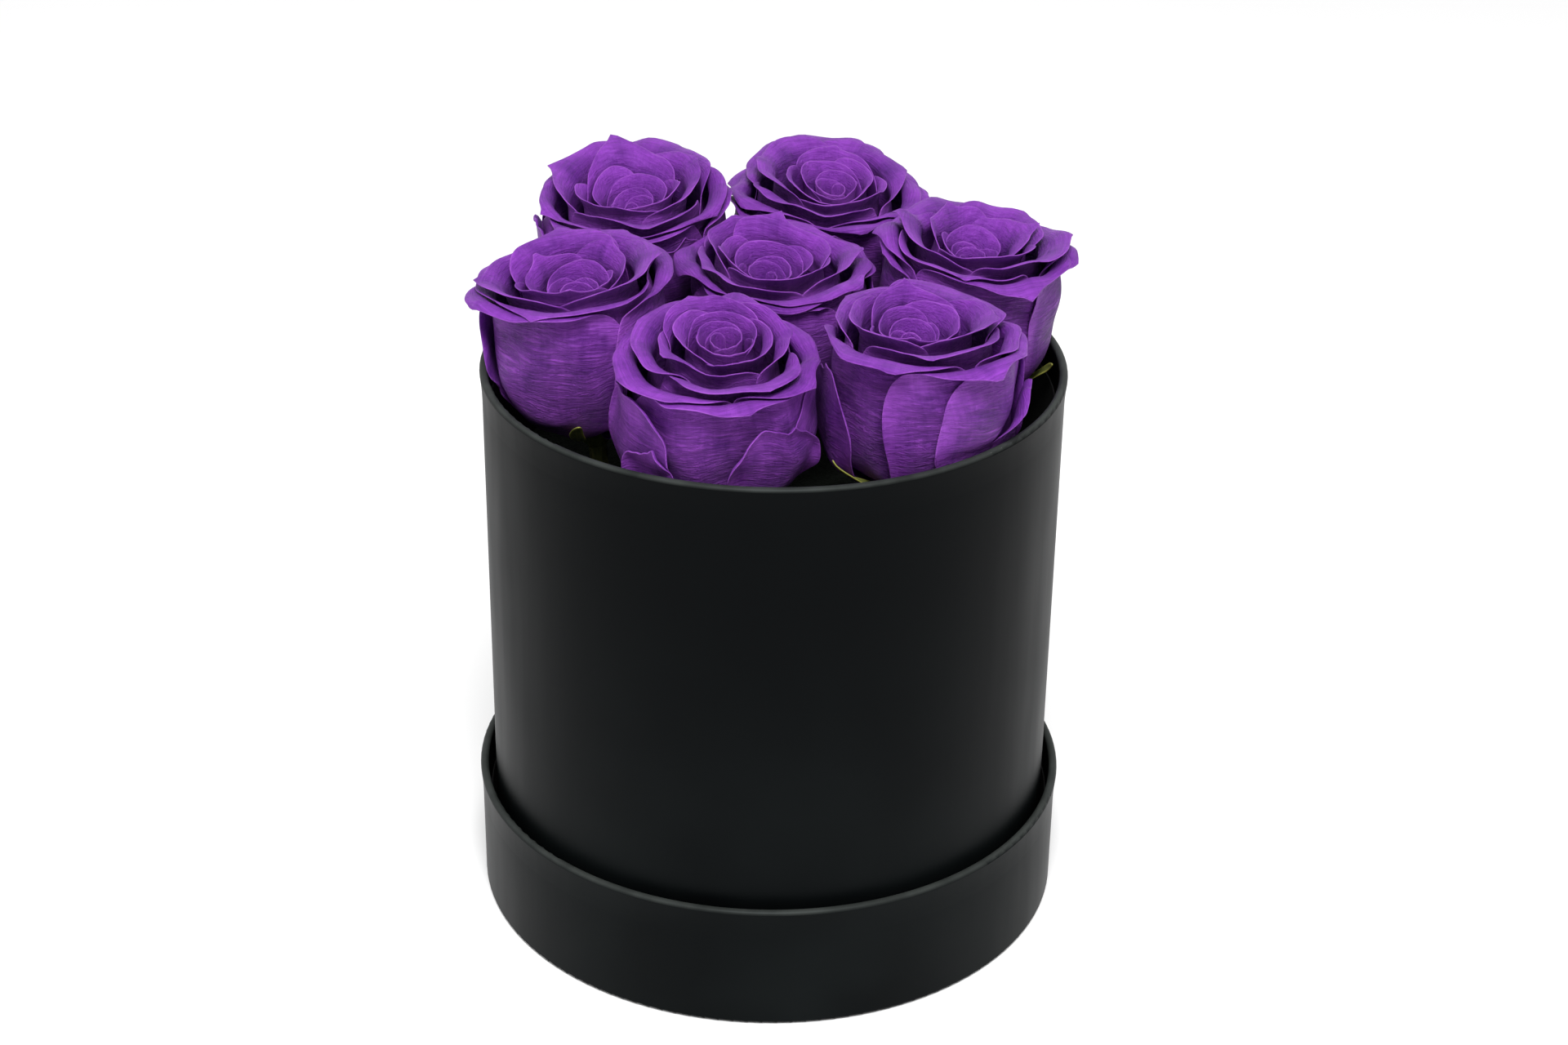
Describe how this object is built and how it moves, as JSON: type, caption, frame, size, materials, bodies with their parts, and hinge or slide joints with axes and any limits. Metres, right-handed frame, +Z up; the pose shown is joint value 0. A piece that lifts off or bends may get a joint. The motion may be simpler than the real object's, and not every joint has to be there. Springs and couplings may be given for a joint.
{
  "type": "flower box",
  "caption": "Round rigid-board hat box in black wrap, standing in its own upturned lid and filled with preserved roses set in foam.",
  "frame": {"origin": "centre of the upturned lid's underside, on the surface the box stands on", "axes": "+Z up along the box's axis; -Y is the front; +X is to the right seen from the front"},
  "size_m": [0.169, 0.169, 0.2048],
  "materials": {
    "wrap_paper": "satin laminated",
    "grey_board": "raw board",
    "lining_paper": "matt",
    "floral_foam": "matt, open-celled",
    "petal": "velvety preserved petal",
    "sepal": "dry, matt",
    "stem": "matt"
  },
  "bodies": {
    "lid": {"lid_hoop_board": "grey_board", "lid_panel_board": "grey_board", "lid_wrap_paper": "wrap_paper", "lid_panel_paper": "wrap_paper", "lid_hoop_lining": "lining_paper", "lid_panel_lining": "lining_paper"},
    "box": {"box_tube_board": "grey_board", "box_base_board": "grey_board", "box_wrap_paper": "wrap_paper", "box_base_paper": "wrap_paper", "box_tube_lining": "lining_paper", "box_base_lining": "lining_paper", "foam_block": "floral_foam"},
    "rose_1": {"rose_1_outer_petals": "petal", "rose_1_middle_petals": "petal", "rose_1_bud": "petal", "rose_1_calyx": "sepal", "rose_1_stem": "stem"},
    "rose_2": {"rose_2_outer_petals": "petal", "rose_2_middle_petals": "petal", "rose_2_bud": "petal", "rose_2_calyx": "sepal", "rose_2_stem": "stem"},
    "rose_3": {"rose_3_outer_petals": "petal", "rose_3_middle_petals": "petal", "rose_3_bud": "petal", "rose_3_calyx": "sepal", "rose_3_stem": "stem"},
    "rose_4": {"rose_4_outer_petals": "petal", "rose_4_middle_petals": "petal", "rose_4_bud": "petal", "rose_4_calyx": "sepal", "rose_4_stem": "stem"},
    "rose_5": {"rose_5_outer_petals": "petal", "rose_5_middle_petals": "petal", "rose_5_bud": "petal", "rose_5_calyx": "sepal", "rose_5_stem": "stem"},
    "rose_6": {"rose_6_outer_petals": "petal", "rose_6_middle_petals": "petal", "rose_6_bud": "petal", "rose_6_calyx": "sepal", "rose_6_stem": "stem"},
    "rose_7": {"rose_7_outer_petals": "petal", "rose_7_middle_petals": "petal", "rose_7_bud": "petal", "rose_7_calyx": "sepal", "rose_7_stem": "stem"}
  },
  "joints": [
    {"name": "box_lift", "type": "slide", "parent": "lid", "child": "box", "axis": [0, 0, 1], "range_m": [0, 0.06]},
    {"name": "rose_1_lift", "type": "slide", "parent": "box", "child": "rose_1", "axis": [0, 0, 1], "range_m": [0, 0.11]},
    {"name": "rose_2_lift", "type": "slide", "parent": "box", "child": "rose_2", "axis": [0.1018, 0.0239, 0.9945], "range_m": [0, 0.11]},
    {"name": "rose_3_lift", "type": "slide", "parent": "box", "child": "rose_3", "axis": [0.0293, 0.1003, 0.9945], "range_m": [0, 0.11]},
    {"name": "rose_4_lift", "type": "slide", "parent": "box", "child": "rose_4", "axis": [-0.0774, 0.0702, 0.9945], "range_m": [0, 0.11]},
    {"name": "rose_5_lift", "type": "slide", "parent": "box", "child": "rose_5", "axis": [-0.1014, -0.0255, 0.9945], "range_m": [0, 0.11]},
    {"name": "rose_6_lift", "type": "slide", "parent": "box", "child": "rose_6", "axis": [-0.0279, -0.1007, 0.9945], "range_m": [0, 0.11]},
    {"name": "rose_7_lift", "type": "slide", "parent": "box", "child": "rose_7", "axis": [0.0713, -0.0764, 0.9945], "range_m": [0, 0.11]}
  ]
}
